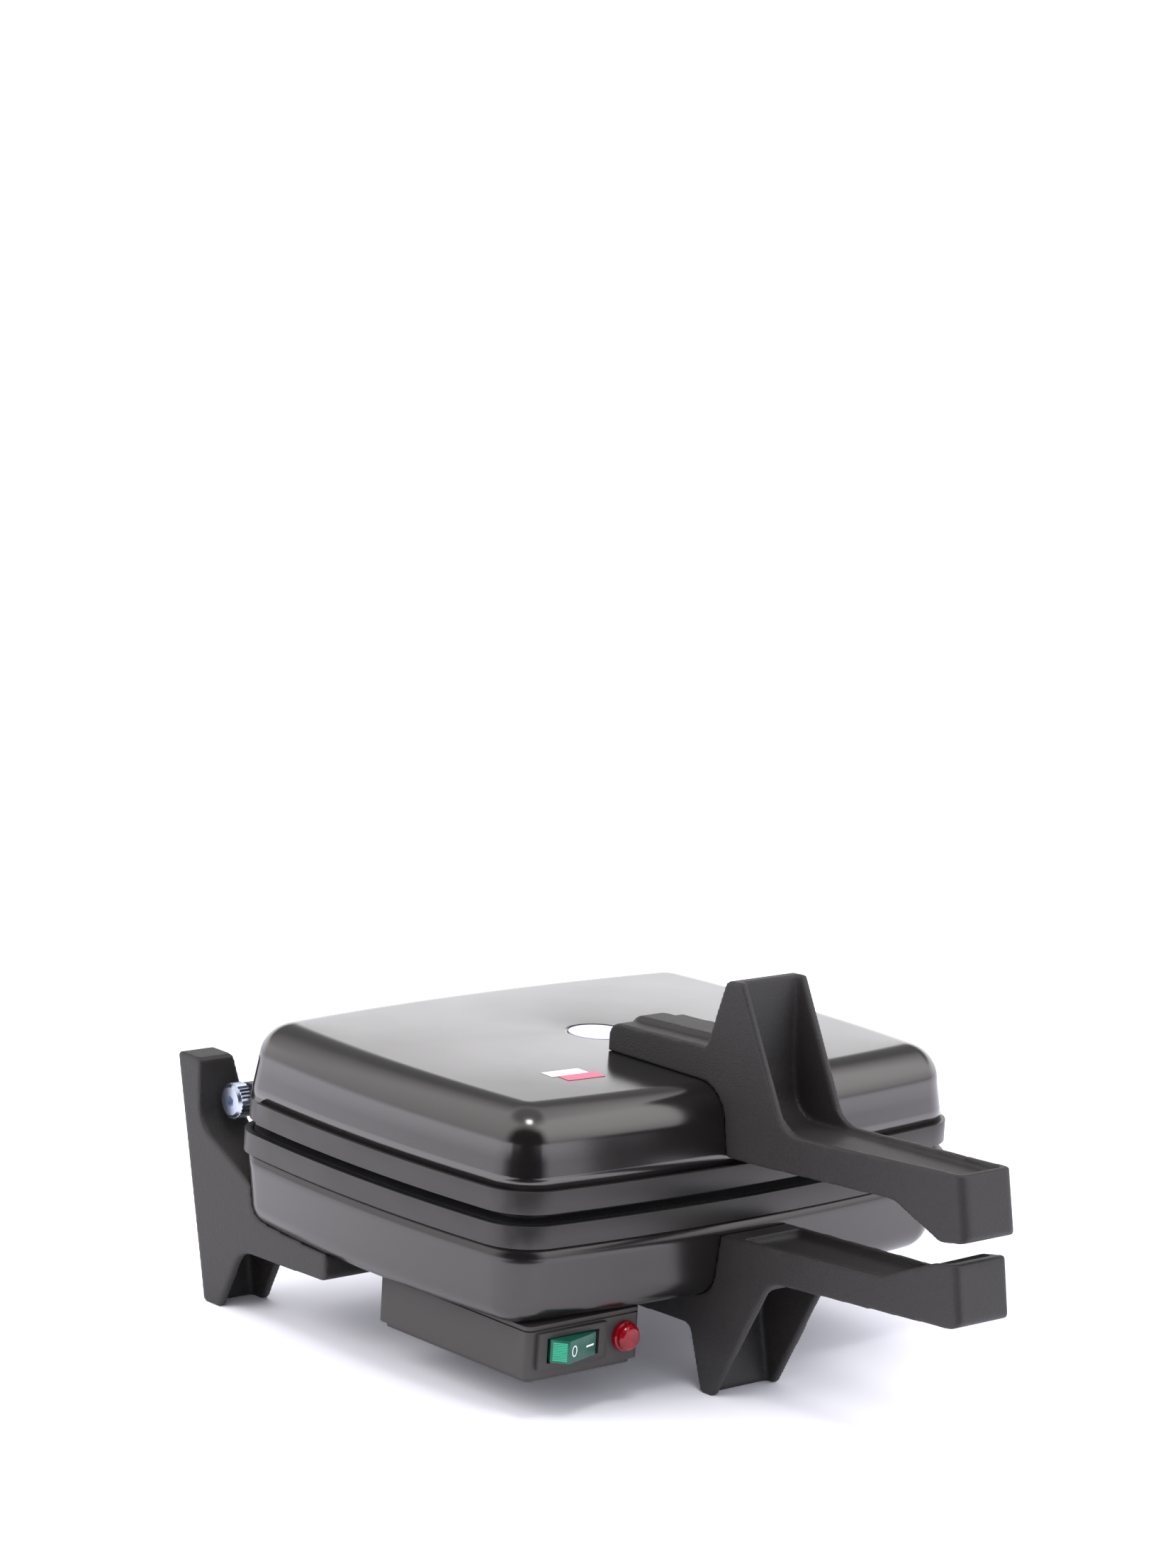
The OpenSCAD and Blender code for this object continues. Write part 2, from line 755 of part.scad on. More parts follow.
module control_box() color("#35322d") difference() {
    box_block(0, box_z, box_top);
    difference() {
        box_block(-past, box_top - seam_at - seam_h, box_top - seam_at);
        box_block(seam_in, box_z, box_top);
    }
    difference() {
        translate([box_x + box_wall, box_y + box_wall, box_z - past])
            cube([box_w - 2 * box_wall, box_d - 2 * box_wall, box_h - box_wall + past]);
        at_box_screws() rod([0, 0, -12], 12, 8);
    }
    // Openings for the switch, the lamp, the cord and the wires
    translate([switch_x - (bezel_w - 4) / 2, box_y - past, switch_z - (bezel_h - 2.4) / 2])
        cube([bezel_w - 4, box_wall + 2 * past, bezel_h - 2.4]);
    translate([lamp_x, box_y - past, lamp_z])
        rotate([-90, 0, 0]) cylinder(h = box_wall + 2 * past, d = lamp_d - 3);
    cord_place() rod([0, 0, -box_wall - past], box_wall + 2 * past, gland_d + 2 * fit);
    rod([grommet_x, grommet_y, box_top - box_wall - past], box_wall + 2 * past, 2 * grommet_r);
    at_box_screws() rod([0, 0, -11], 12, handle_screw_d + 2 * screw_fit);
}

module control_box_cover() color("#35322d") {
    box_block(cover_step, box_z - cover_drop, box_z - fit / 2);
    // Lip inside the walls
    difference() {
        translate([box_x + lip_in, box_y + lip_in, box_z - fit])
            cube([box_w - 2 * lip_in, box_d - 2 * lip_in, 2]);
        translate([box_x + lip_in + lip_t, box_y + lip_in + lip_t, box_z - past])
            cube([box_w - 2 * (lip_in + lip_t), box_d - 2 * (lip_in + lip_t), 2 + 2 * past]);
    }
}

module control_box_screws() color("silver") at_box_screws() screw(handle_screw_d, 9);

// The cord opening in the back wall of the box, its axis pointing out
module cord_place()
    translate([box_x + box_w / 2, box_y + box_d, box_z + box_h / 2]) rotate([-90, 0, 0]) children();

module cord_gland() color("#1d1c1a") cord_place() difference() {
    union() {
        rod([0, 0, -box_wall - 3], box_wall + 3.5, gland_d);
        rod([0, 0, fit], 3, gland_d + 4);
        rod([0, 0, -box_wall - 4], 4 - fit, gland_d + 3);
    }
    rod([0, 0, -box_wall - 4 - past], box_wall + 8 + 2 * past, cord_hole_d);
}

module terminal_block() color("ivory")
    translate([box_x + box_w / 2 - 15, box_y + box_d - 28, box_z + 4]) difference() {
        cube([30, 10, 8]);
        for (i = [0 : 2]) translate([5 + 10 * i, 5, 5]) cylinder(h = 4, r = 2);
    }

module wire_grommet() color("#1d1c1a") translate([grommet_x, grommet_y, 0]) difference() {
    rod([0, 0, box_top - box_wall - 1.2], box_wall + shell_t + 2.4 + fit, 2 * grommet_r - 2 * fit);
    rod([0, 0, box_top - box_wall - 2.2], 12, 2 * grommet_r - 4);
}

// Bezel and housing of the switch, with the seats of the rocker's pivots
module switch_body() color("#1f1e1c") translate([switch_x, face_y, switch_z]) difference() {
    union() {
        translate([-bezel_w / 2, -bezel_t, -bezel_h / 2]) cube([bezel_w, bezel_t, bezel_h]);
        translate([-(bezel_w - 4.4) / 2, -past, -(bezel_h - 2.8) / 2])
            cube([bezel_w - 4.4, 15 + past, bezel_h - 2.8]);
        for (x = [-9, 0, 9]) translate([x - 0.4, 14, -2.4]) cube([0.8, 8, 4.8]);
    }
    translate([-rocker_w / 2 - rocker_gap, -bezel_t - past, -rocker_h / 2 - rocker_gap])
        cube([rocker_w + 2 * rocker_gap, bezel_t + 12 + past, rocker_h + 2 * rocker_gap]);
    translate([0, pivot_in, 0])
        cylinder(h = rocker_h + 2 * pivot_l + 4 * running_fit, r = pivot_r + running_fit, center = true);
}

// The rocker rests with one end pressed in
module switch_rocker() color("#0c7a4a") translate([switch_x, face_y + pivot_in, switch_z])
    rotate([0, 0, rocker_tilt]) {
        translate([0, 0, -rocker_h / 2])
            linear_extrude(rocker_h)
                polygon(profile([
                    [-rocker_w / 2 + rocker_gap, 0.6, 0], [-ridge_x, -ridge_out, 0.6],
                    [ridge_x, -ridge_out, 0.6], [rocker_w / 2 - rocker_gap, 0.6, 0],
                    [ridge_x + 1, rocker_depth, 1], [-ridge_x - 1, rocker_depth, 1]]));
        cylinder(h = rocker_h + 2 * pivot_l, r = pivot_r, center = true);
    }

module lamp_place() translate([lamp_x, face_y, lamp_z]) rotate([90, 0, 0]) children();

// Collar with a round-edged cap
module lamp_lens() color("#a51222") lamp_place() rotate_extrude() polygon(profile([
    [0, 0, 0], [lamp_d / 2, 0, 0], [lamp_d / 2, 1.7, 0.4], [lamp_cap_r, 2.1, 0],
    [lamp_cap_r, 4.6, 2], [0, 5, 0]]));

module lamp_body() color("#7b1a20") lamp_place() {
    rod([0, 0, -14], 14 - fit, lamp_d - 3.2);
    for (s = [-1, 1]) translate([s * 2.5 - 0.4, -1.5, -19]) cube([0.8, 3, 6]);
}

module badge_disc() color("#d9dae6")
    rod([0, badge_y, lid_top - badge_seat + fit], badge_seat - 2 * fit, 2 * badge_r);

// Plain two-colour sticker on the lid
module lid_label() color("#c23a5b") translate([label_x, label_y, lid_top + fit / 2])
    rotate([0, 0, -4]) translate([-label_w / 2, -label_d / 2, 0]) cube([label_w, label_d, label_t]);

module at_hinge(side) translate([side * knob_x, hinge_y, hinge_z]) rotate([0, side * 90, 0]) children();

function knurl(r, depth, teeth) =
    [for (i = [0 : 2 * teeth - 1]) let (a = 180 * i / teeth, rr = r - depth * (i % 2)) rr * [cos(a), sin(a)]];

// Knurled head with a socket, its shaft towards -Z
module knurled_screw(d, head_d, head_l, shaft) {
    difference() {
        union() {
            rod([0, 0, -shaft], shaft + past, d);
            linear_extrude(head_l - 1) polygon(knurl(head_d / 2, 0.5, 28));
            translate([0, 0, head_l - 1]) cylinder(h = 1, d1 = head_d - 1.2, d2 = head_d - 3.2);
        }
        translate([0, 0, head_l - 2.5]) cylinder(h = 3, r = 2.2, $fn = 6);
    }
}

module hinge_screw() knurled_screw(hinge_pin_d, knob_d, knob_l, hinge_shaft);
module hinge_screw_left() color("#c9ccd0") at_hinge(-1) hinge_screw();
module hinge_screw_right() color("#c9ccd0") at_hinge(1) hinge_screw();

module hinge_washers() color("#c9ccd0") for (s = [-1, 1]) at_hinge(s) difference() {
    rod([0, 0, -washer_t - fit], washer_t, 2 * eye_r - 1);
    rod([0, 0, -washer_t - past], washer_t + 2 * past, hinge_pin_d + 2 * running_fit);
}

// Thumbscrew in the right side of the lower frame, against the plate's rim
module lock_screw_place()
    translate([half_w + fit, -half_d + lock_y, part_z - band_in - rim_t]) rotate([0, 90, 0]) children();

module plate_lock_screw() color("#c9ccd0") lock_screw_place()
    knurled_screw(lock_d, lock_head_d, 3.2, lock_shaft - past);

module placed() translate([0, -middle_y, 0]) children();

placed() lower_shell();
placed() lower_frame();
placed() lower_plate();
placed() lower_element();
placed() lower_clamps();
placed() lower_heat_shield();
placed() lower_plate_screws();
placed() thermostat();
placed() lower_handle();
placed() lower_handle_screws();
placed() rear_leg_left();
placed() rear_leg_right();
placed() rear_leg_screws();
placed() control_box();
placed() control_box_cover();
placed() control_box_screws();
placed() cord_gland();
placed() terminal_block();
placed() switch_body();
placed() switch_rocker();
placed() lamp_lens();
placed() lamp_body();
placed() wire_grommet();
placed() upper_shell();
placed() upper_frame();
placed() upper_plate();
placed() upper_element();
placed() upper_clamps();
placed() upper_heat_shield();
placed() upper_plate_screws();
placed() thermal_fuse();
placed() upper_handle();
placed() upper_handle_screws();
placed() badge_disc();
placed() lid_label();
placed() hinge_washers();
placed() hinge_screw_left();
placed() hinge_screw_right();
placed() plate_lock_screw();
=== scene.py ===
import json
import math

import bmesh
import bpy
from mathutils import Matrix, Vector


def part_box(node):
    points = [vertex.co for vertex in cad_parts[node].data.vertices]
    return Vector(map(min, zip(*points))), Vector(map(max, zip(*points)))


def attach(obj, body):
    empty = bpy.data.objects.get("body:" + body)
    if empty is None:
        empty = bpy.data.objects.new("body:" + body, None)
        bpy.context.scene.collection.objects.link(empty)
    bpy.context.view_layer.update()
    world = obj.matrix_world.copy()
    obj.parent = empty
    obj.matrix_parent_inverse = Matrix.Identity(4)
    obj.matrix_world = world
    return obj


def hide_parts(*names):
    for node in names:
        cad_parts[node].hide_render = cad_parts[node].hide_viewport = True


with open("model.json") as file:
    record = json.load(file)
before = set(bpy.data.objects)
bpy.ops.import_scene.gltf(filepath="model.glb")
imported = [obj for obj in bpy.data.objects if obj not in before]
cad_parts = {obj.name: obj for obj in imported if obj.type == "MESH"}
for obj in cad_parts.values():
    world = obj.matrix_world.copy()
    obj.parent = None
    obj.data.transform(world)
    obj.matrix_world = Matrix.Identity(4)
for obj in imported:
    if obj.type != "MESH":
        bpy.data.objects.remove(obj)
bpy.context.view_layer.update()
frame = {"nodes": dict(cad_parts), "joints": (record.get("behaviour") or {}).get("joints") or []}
nodes = frame["nodes"]
joints = {j["name"]: j for j in frame["joints"]}

MM = 0.001
# The plates are symmetrical, so their middle is the frames' middle
plate_low, plate_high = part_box("upper_plate")
MIDDLE = Vector(((plate_low.x + plate_high.x) / 2, (plate_low.y + plate_high.y) / 2, 0))
PLATE_RISE = 0.1 * MM  # from the parting plane to the upper plate
PART_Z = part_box("upper_plate")[0].z - PLATE_RISE
LID_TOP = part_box("upper_shell")[1].z
PAN_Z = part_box("lower_shell")[0].z

# ------------------------------------------------ outline of the halves, as in the CAD source
HALF_W, HALF_D, CORNER_R = 115 * MM, 90.5 * MM, 19.5 * MM
FRONT_BOW, SIDE_BOW = 5.5 * MM, 3.7 * MM
BAND_OUT = 10.3 * MM  # from the parting plane to the far edge of a frame's band
SHELL_T, DRAFT, INSET = 1.4 * MM, 2.4 * MM, 1.6 * MM
LID_EDGE_R, PAN_EDGE_R = 14 * MM, 11 * MM
CORNER_X = HALF_W - SIDE_BOW - CORNER_R
CORNER_Y = HALF_D - FRONT_BOW - CORNER_R
QUARTER = math.pi / 2


def bow_radius(chord, bow):
    return (chord * chord + bow * bow) / (2 * bow)


FRONT_R, SIDE_R = bow_radius(CORNER_X, FRONT_BOW), bow_radius(CORNER_Y, SIDE_BOW)
FRONT_A, SIDE_A = math.asin(CORNER_X / FRONT_R), math.asin(CORNER_Y / SIDE_R)


def outline(grow, side_steps=28, corner_steps=20):
    """Points of the bowed rectangle grown by grow, counter-clockwise, round the frames' middle."""
    r = CORNER_R + grow
    front_r, side_r = FRONT_R + r, SIDE_R + r
    front_y, side_x = HALF_D + grow - front_r, HALF_W + grow - side_r
    # Each arc has its centre, its radius, the angles it starts and ends at, and its steps
    arcs = [
        (0, -front_y, front_r, -QUARTER - FRONT_A, -QUARTER + FRONT_A, side_steps),
        (CORNER_X, -CORNER_Y, r, -QUARTER + FRONT_A, -SIDE_A, corner_steps),
        (side_x, 0, side_r, -SIDE_A, SIDE_A, side_steps),
        (CORNER_X, CORNER_Y, r, SIDE_A, QUARTER - FRONT_A, corner_steps),
        (0, front_y, front_r, QUARTER - FRONT_A, QUARTER + FRONT_A, side_steps),
        (-CORNER_X, CORNER_Y, r, QUARTER + FRONT_A, math.pi - SIDE_A, corner_steps),
        (-side_x, 0, side_r, math.pi - SIDE_A, math.pi + SIDE_A, side_steps),
        (-CORNER_X, -CORNER_Y, r, math.pi + SIDE_A, 3 * QUARTER - FRONT_A, corner_steps),
    ]
    points = []
    for x, y, radius, start, end, steps in arcs:
        for i in range(steps):
            a = start + (end - start) * i / steps
            points.append((MIDDLE.x + x + radius * math.cos(a),
                           MIDDLE.y + y + radius * math.sin(a)))
    return points


# ------------------------------------------------ mesh helpers
WELD = 2e-6  # metres


def add_object(name, bm, smooth=True):
    mesh = bpy.data.meshes.new(name)
    bm.to_mesh(mesh)
    bm.free()
    if smooth:
        shade_smooth(mesh)
    obj = bpy.data.objects.new(name, mesh)
    bpy.context.scene.collection.objects.link(obj)
    return obj


def shade_smooth(mesh):
    mesh.polygons.foreach_set("use_smooth", [True] * len(mesh.polygons))


def finish_piece(obj, body, slot, material, *replaced):
    """Gives a piece its material and its body, and hides the CAD nodes that it stands for; slot is
    not used.
    """
    obj.data.materials.clear()
    obj.data.materials.append(material)
    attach(obj, body)
    if replaced:
        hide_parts(*replaced)


def welded(node, flat_angle=None):
    """The node's mesh with its vertices joined, and its flat faces merged up to flat_angle."""
    bm = bmesh.new()
    bm.from_mesh(nodes[node].data)
    bmesh.ops.remove_doubles(bm, verts=bm.verts, dist=WELD)
    if flat_angle is not None:
        bmesh.ops.dissolve_limit(bm, angle_limit=math.radians(flat_angle), verts=bm.verts,
                                 edges=bm.edges)
    return bm


def bevelled(name, node, width, segments=3, sharp_angle=33, flat_angle=1.0):
    """A copy of a CAD node with its sharp edges rounded."""
    obj = add_object(name, welded(node, flat_angle))
    bevel = obj.modifiers.new("round", "BEVEL")
    bevel.width = width
    bevel.segments = segments
    bevel.limit_method = "ANGLE"
    bevel.angle_limit = math.radians(sharp_angle)
    bevel.use_clamp_overlap = True
    bevel.harden_normals = True
    return obj


def moulded(name, node, voxel, rounds=4, pull=0.5):
    """A copy of a CAD node with all edges and inner corners softened, as in a moulding."""
    obj = add_object(name, welded(node))
    remesh = obj.modifiers.new("even", "REMESH")
    remesh.mode = "VOXEL"
    remesh.voxel_size = voxel
    remesh.use_smooth_shade = True
    smooth = obj.modifiers.new("soften", "SMOOTH")
    smooth.factor = pull
    smooth.iterations = rounds
    bpy.context.view_layer.update()
    evaluated = obj.evaluated_get(bpy.context.evaluated_depsgraph_get())
    mesh = bpy.data.meshes.new_from_object(evaluated)
    obj.modifiers.clear()
    obj.data = mesh
    shade_smooth(mesh)
    return obj


# ------------------------------------------------ materials
NOISE_LOW, NOISE_HIGH = 0.3, 0.7  # the levels that a noise is mostly between


def new_material(name, color, roughness, metallic=0.0, coat=0.0, coat_roughness=0.1,
                 specular=0.5):
    material = bpy.data.materials.new(name)
    material.use_nodes = True
    shader = material.node_tree.nodes["Principled BSDF"]
    shader.inputs["Base Color"].default_value = (*color, 1)
    shader.inputs["Roughness"].default_value = roughness
    shader.inputs["Metallic"].default_value = metallic
    shader.inputs["Coat Weight"].default_value = coat
    shader.inputs["Coat Roughness"].default_value = coat_roughness
    shader.inputs["Specular IOR Level"].default_value = specular
    return material, shader, material.node_tree


def coordinates(tree, stretch=(1, 1, 1)):
    place = tree.nodes.new("ShaderNodeTexCoord")
    scale = tree.nodes.new("ShaderNodeMapping")
    scale.inputs["Scale"].default_value = stretch
    tree.links.new(place.outputs["Object"], scale.inputs["Vector"])
    return scale.outputs["Vector"]


def noise(tree, vector, scale, detail=3.0, roughness=0.5):
    node = tree.nodes.new("ShaderNodeTexNoise")
    node.inputs["Scale"].default_value = scale
    node.inputs["Detail"].default_value = detail
    node.inputs["Roughness"].default_value = roughness
    tree.links.new(vector, node.inputs["Vector"])
    return node.outputs["Fac"]


def spread(tree, fac, low, high):
    """A noise's levels brought between low and high."""
    node = tree.nodes.new("ShaderNodeMapRange")
    node.inputs["From Min"].default_value = NOISE_LOW
    node.inputs["From Max"].default_value = NOISE_HIGH
    node.inputs["To Min"].default_value = low
    node.inputs["To Max"].default_value = high
    tree.links.new(fac, node.inputs["Value"])
    return node.outputs["Result"]


def blend_colors(tree, fac, first, second):
    node = tree.nodes.new("ShaderNodeMix")
    node.data_type = "RGBA"
    node.inputs["A"].default_value = (*first, 1)
    node.inputs["B"].default_value = (*second, 1)
    tree.links.new(spread(tree, fac, 0, 1), node.inputs["Factor"])
    return node.outputs["Result"]


def bump(tree, shader, heights, distance):
    """heights is a list of (fac, strength), bumped one on top of the other."""
    normal = None
    for fac, strength in heights:
        node = tree.nodes.new("ShaderNodeBump")
        node.inputs["Strength"].default_value = strength
        node.inputs["Distance"].default_value = distance
        tree.links.new(fac, node.inputs["Height"])
        if normal is not None:
            tree.links.new(normal, node.inputs["Normal"])
        normal = node.outputs["Normal"]
    tree.links.new(normal, shader.inputs["Normal"])


def coated(name, dark, light, rough, grain, grain_strength, metallic=0.0, coat=0.0,
           stretch=(1, 1, 1), ior=1.5, gloss_tint=(1, 1, 1)):
    """Enamel, coatings, metals and plastics: a cloudy colour, uneven gloss and a fine grain.

    The colour goes from dark to light and the roughness between the two levels of rough.
    grain is the fine noise's scale; a coarser one under it is weaker.
    """
    material, shader, tree = new_material(name, dark, rough[0], metallic, coat,
                                          coat_roughness=0.25)
    shader.inputs["IOR"].default_value = ior
    shader.inputs["Specular Tint"].default_value = (*gloss_tint, 1)
    place = coordinates(tree, stretch)
    clouds = noise(tree, place, scale=22, detail=4, roughness=0.55)
    fine = noise(tree, place, scale=grain, detail=2)
    coarse = noise(tree, place, scale=grain * 0.3, detail=2)
    tree.links.new(blend_colors(tree, clouds, dark, light), shader.inputs["Base Color"])
    tree.links.new(spread(tree, clouds, *rough), shader.inputs["Roughness"])
    bump(tree, shader, [(fine, grain_strength), (coarse, grain_strength * 0.4)], 0.2 * MM)
    return material


def clear_plastic(name, dark, light, transmission, roughness):
    """Coloured plastic that lets some light through."""
    material, shader, tree = new_material(name, dark, roughness, coat=0.1, coat_roughness=0.08)
    place = coordinates(tree)
    shader.inputs["Transmission Weight"].default_value = transmission
    shader.inputs["IOR"].default_value = 1.49
    clouds = noise(tree, place, scale=260, detail=2)
    grain = noise(tree, place, scale=900, detail=2)
    tree.links.new(blend_colors(tree, clouds, dark, light), shader.inputs["Base Color"])
    bump(tree, shader, [(grain, 0.04)], 0.1 * MM)
    return material


# Painted light: a warm tint on the enamels' reflections, standing in for the warm light that they
# reflect
WARM_REFLECTION_PAINTED = (1.0, 0.945, 0.93)
ENAMEL = coated("enamel_black", (0.004, 0.0037, 0.0035), (0.006, 0.0055, 0.005), (0.16, 0.20),
                grain=1500, grain_strength=0.03, ior=2.0, gloss_tint=WARM_REFLECTION_PAINTED)
# Painted shade: the pan's copy of the enamel reflects less, standing in for the shaded floor that
# its walls reflect
PAN_ENAMEL_SHADED = coated("enamel_pan_shaded", (0.006, 0.0055, 0.005), (0.008, 0.0074, 0.007), (0.20, 0.25),
                    grain=1500, grain_strength=0.03, ior=1.74, gloss_tint=WARM_REFLECTION_PAINTED)
FRAME_COAT = coated("frame_coat", (0.056, 0.053, 0.051), (0.066, 0.063, 0.060), (0.36, 0.42),
                    grain=1900, grain_strength=0.16, metallic=0.75, stretch=(0.35, 0.35, 1.6))
PLATE_COAT = coated("plate_coat", (0.035, 0.035, 0.036), (0.050, 0.050, 0.052), (0.34, 0.44),
                    grain=1300, grain_strength=0.25, metallic=0.35)
MOULDED = coated("moulded_black", (0.0175, 0.0156, 0.0147), (0.024, 0.0216, 0.0204),
                 (0.50, 0.57), grain=1500, grain_strength=0.85)
BOX_PLASTIC = coated("box_plastic", (0.037, 0.033, 0.030), (0.044, 0.040, 0.036), (0.55, 0.63),
                     grain=2200, grain_strength=0.30)
SWITCH_PLASTIC = coated("switch_plastic", (0.029, 0.026, 0.024), (0.034, 0.031, 0.028),
                        (0.50, 0.56), grain=2600, grain_strength=0.20)
RUBBER = coated("rubber_black", (0.018, 0.018, 0.018), (0.024, 0.023, 0.023), (0.62, 0.72),
                grain=1700, grain_strength=0.20)
ZINC = coated("zinc_plating", (0.50, 0.55, 0.66), (0.62, 0.65, 0.72), (0.24, 0.34),
              grain=900, grain_strength=0.05, metallic=1.0)
STEEL = coated("plain_steel", (0.48, 0.46, 0.44), (0.60, 0.58, 0.55), (0.32, 0.46),
               grain=700, grain_strength=0.10, metallic=1.0)
SHIELD = coated("rolled_aluminium", (0.68, 0.69, 0.71), (0.78, 0.78, 0.80), (0.28, 0.40),
                grain=420, grain_strength=0.10, metallic=1.0, stretch=(0.15, 1, 1))
CERAMIC = coated("ceramic", (0.66, 0.62, 0.53), (0.74, 0.71, 0.63), (0.55, 0.65),
                 grain=1100, grain_strength=0.15)
BADGE = coated("badge_pale", (0.50, 0.51, 0.66), (0.53, 0.54, 0.69), (0.34, 0.40),
               grain=600, grain_strength=0.02, coat=0.3)
LABEL_WHITE = coated("label_white", (0.82, 0.80, 0.82), (0.86, 0.84, 0.86), (0.45, 0.55),
                     grain=1800, grain_strength=0.06)
LABEL_RED = coated("label_red", (0.62, 0.10, 0.17), (0.68, 0.14, 0.21), (0.45, 0.55),
                   grain=1800, grain_strength=0.06)
PRINT = coated("print_white", (0.80, 0.82, 0.84), (0.88, 0.89, 0.90), (0.45, 0.55),
               grain=1800, grain_strength=0.05)

GREEN = clear_plastic("rocker_green", (0.003, 0.075, 0.048), (0.005, 0.10, 0.062),
                      transmission=0.12, roughness=0.24)
# Painted light: a lighter copy of the rocker's green for its sloping ends, standing in for the
# light that they catch
GREEN_PAINTED_LIT = clear_plastic("rocker_green_end_painted_lit", (0.006, 0.33, 0.175), (0.010, 0.42, 0.23),
                             transmission=0.10, roughness=0.28)
RED = clear_plastic("lamp_red", (0.26, 0.0005, 0.006), (0.36, 0.001, 0.010),
                    transmission=0.35, roughness=0.12)
RED_CORE = clear_plastic("lamp_core", (0.30, 0.01, 0.015), (0.36, 0.02, 0.02),
                         transmission=0.1, roughness=0.4)

# ------------------------------------------------ pressed shells
# The lip of the badge's recess: (mm outside the recess's radius, share of the depth)
SEAT_LIP = [(1.6, 0), (1.1, 0.04), (0.7, 0.16), (0.35, 0.42), (0.15, 0.75), (0.1, 1)]
SEAT_GAP, SEAT_DEPTH = 0.3 * MM, 0.7 * MM


def shell_levels(height, inset, edge, start, edge_steps=16, wall_steps=3):
    """(distance from the parting plane, growth) up the wall and round the edge."""
    levels = [(start + (height - edge - start) * i / wall_steps, -inset - DRAFT * i / wall_steps)
              for i in range(wall_steps + 1)]
    for i in range(1, edge_steps + 1):
        a = QUARTER * i / edge_steps
        levels.append((height - edge + edge * math.sin(a),
                       -inset - DRAFT - edge * (1 - math.cos(a))))
    return levels


def ring_of(bm, points, z):
    return [bm.verts.new((x, y, z)) for x, y in points]


def skin(bm, first, second):
    """Faces between two closed rings of as many vertices."""
    count = len(first)
    for i in range(count):
        j = (i + 1) % count
        bm.faces.new((first[i], first[j], second[j], second[i]))


def skin_all(bm, rings):
    for first, second in zip(rings, rings[1:]):
        skin(bm, first, second)


def circle(radius, y, steps=96):
    """Points of a circle whose centre is y behind the frames' middle."""
    turns = [2 * math.pi * i / steps for i in range(steps)]
    return [(MIDDLE.x + radius * math.cos(a), MIDDLE.y + y + radius * math.sin(a))
            for a in turns]


def fill_between(bm, outer, inner):
    """A flat face between two rings that already have their edges."""
    edges = [bm.edges.get((loop[i], loop[(i + 1) % len(loop)]))
             for loop in (outer, inner) for i in range(len(loop))]
    bmesh.ops.triangle_fill(bm, use_beauty=True, use_dissolve=False, edges=edges)


def build_shell(name, height, edge, side, seat=None):
    """side is 1 over the parting plane and -1 under it; seat is a recess's (radius, y, depth)."""
    bm = bmesh.new()
    outer = [ring_of(bm, outline(g), PART_Z + side * h)
             for h, g in shell_levels(height, INSET, edge, BAND_OUT)]
    inner = [ring_of(bm, outline(g), PART_Z + side * h)
             for h, g in shell_levels(height - SHELL_T, INSET + SHELL_T, edge - SHELL_T, BAND_OUT)]
    skin_all(bm, outer)
    skin_all(bm, inner)
    skin(bm, outer[0], inner[0])
    bm.faces.new(inner[-1])
    if seat:
        radius, y, depth = seat
        top = PART_Z + side * height
        rings = [ring_of(bm, circle(radius + out * MM, y), top - depth * down)
                 for out, down in SEAT_LIP]
        skin_all(bm, rings)
        bm.faces.new(rings[-1])
        fill_between(bm, outer[-1], rings[0])
    else:
        bm.faces.new(outer[-1])
    bmesh.ops.recalc_face_normals(bm, faces=bm.faces)
    return add_object(name, bm)


badge_low, badge_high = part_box("badge_disc")
badge_y = (badge_low.y + badge_high.y) / 2 - MIDDLE.y
badge_r = (badge_high.x - badge_low.x) / 2
lid_shell = build_shell("lid_shell", LID_TOP - PART_Z, LID_EDGE_R, 1,
                        seat=(badge_r + SEAT_GAP, badge_y, SEAT_DEPTH))
finish_piece(lid_shell, "lid", "enamel", ENAMEL, "upper_shell")
# The pan gets the enamel's copy that reflects less: painted shade
pan_shell = build_shell("pan_shell", PART_Z - PAN_Z, PAN_EDGE_R, -1)
finish_piece(pan_shell, "base", "enamel", PAN_ENAMEL_SHADED, "lower_shell")

# ------------------------------------------------ castings, mouldings, control box and switch
# How a piece is made, its name and CAD node, its edges' width or its voxels' size in mm,
# and its body, slot and material
COPIES = [
    (bevelled, "lid_frame", "upper_frame", 0.45, "lid", "frame_coat", FRAME_COAT),
    (bevelled, "pan_frame", "lower_frame", 0.45, "base", "frame_coat", FRAME_COAT),
    (moulded, "lid_handle", "upper_handle", 0.75, "lid", "handle_plastic", MOULDED),
    (moulded, "pan_handle", "lower_handle", 0.75, "base", "handle_plastic", MOULDED),
    (moulded, "moulded_rear_leg_left", "rear_leg_left", 0.85, "base", "handle_plastic", MOULDED),
    (moulded, "moulded_rear_leg_right", "rear_leg_right", 0.85, "base", "handle_plastic",
     MOULDED),
    (bevelled, "box_housing", "control_box", 0.4, "base", "box_plastic", BOX_PLASTIC),
    (bevelled, "box_cover", "control_box_cover", 0.35, "base", "box_plastic", BOX_PLASTIC),
    (bevelled, "switch_bezel", "switch_body", 0.3, "base", "switch_plastic", SWITCH_PLASTIC),
    (bevelled, "rocker", "switch_rocker", 0.18, "rocker", "rocker_green", GREEN),
]
for make, name, node, size_mm, body, slot, material in COPIES:
    finish_piece(make(name, node, size_mm * MM), body, slot, material, node)

# ------------------------------------------------ marks and ribs on the rocker
PIVOT = Vector(joints["switch_tilt"]["pos_m"])
REST_TILT = math.radians(15)
TILT = Matrix.Translation(PIVOT) @ Matrix.Rotation(REST_TILT, 4, "Z")
# The rocker's ridges and ends, measured from its pivot, and its height
RIDGE_X, RIDGE_OUT, END_X, END_IN = 8.3 * MM, 5.6 * MM, 11.35 * MM, 0.6 * MM
ROCKER_H = 8.4 * MM


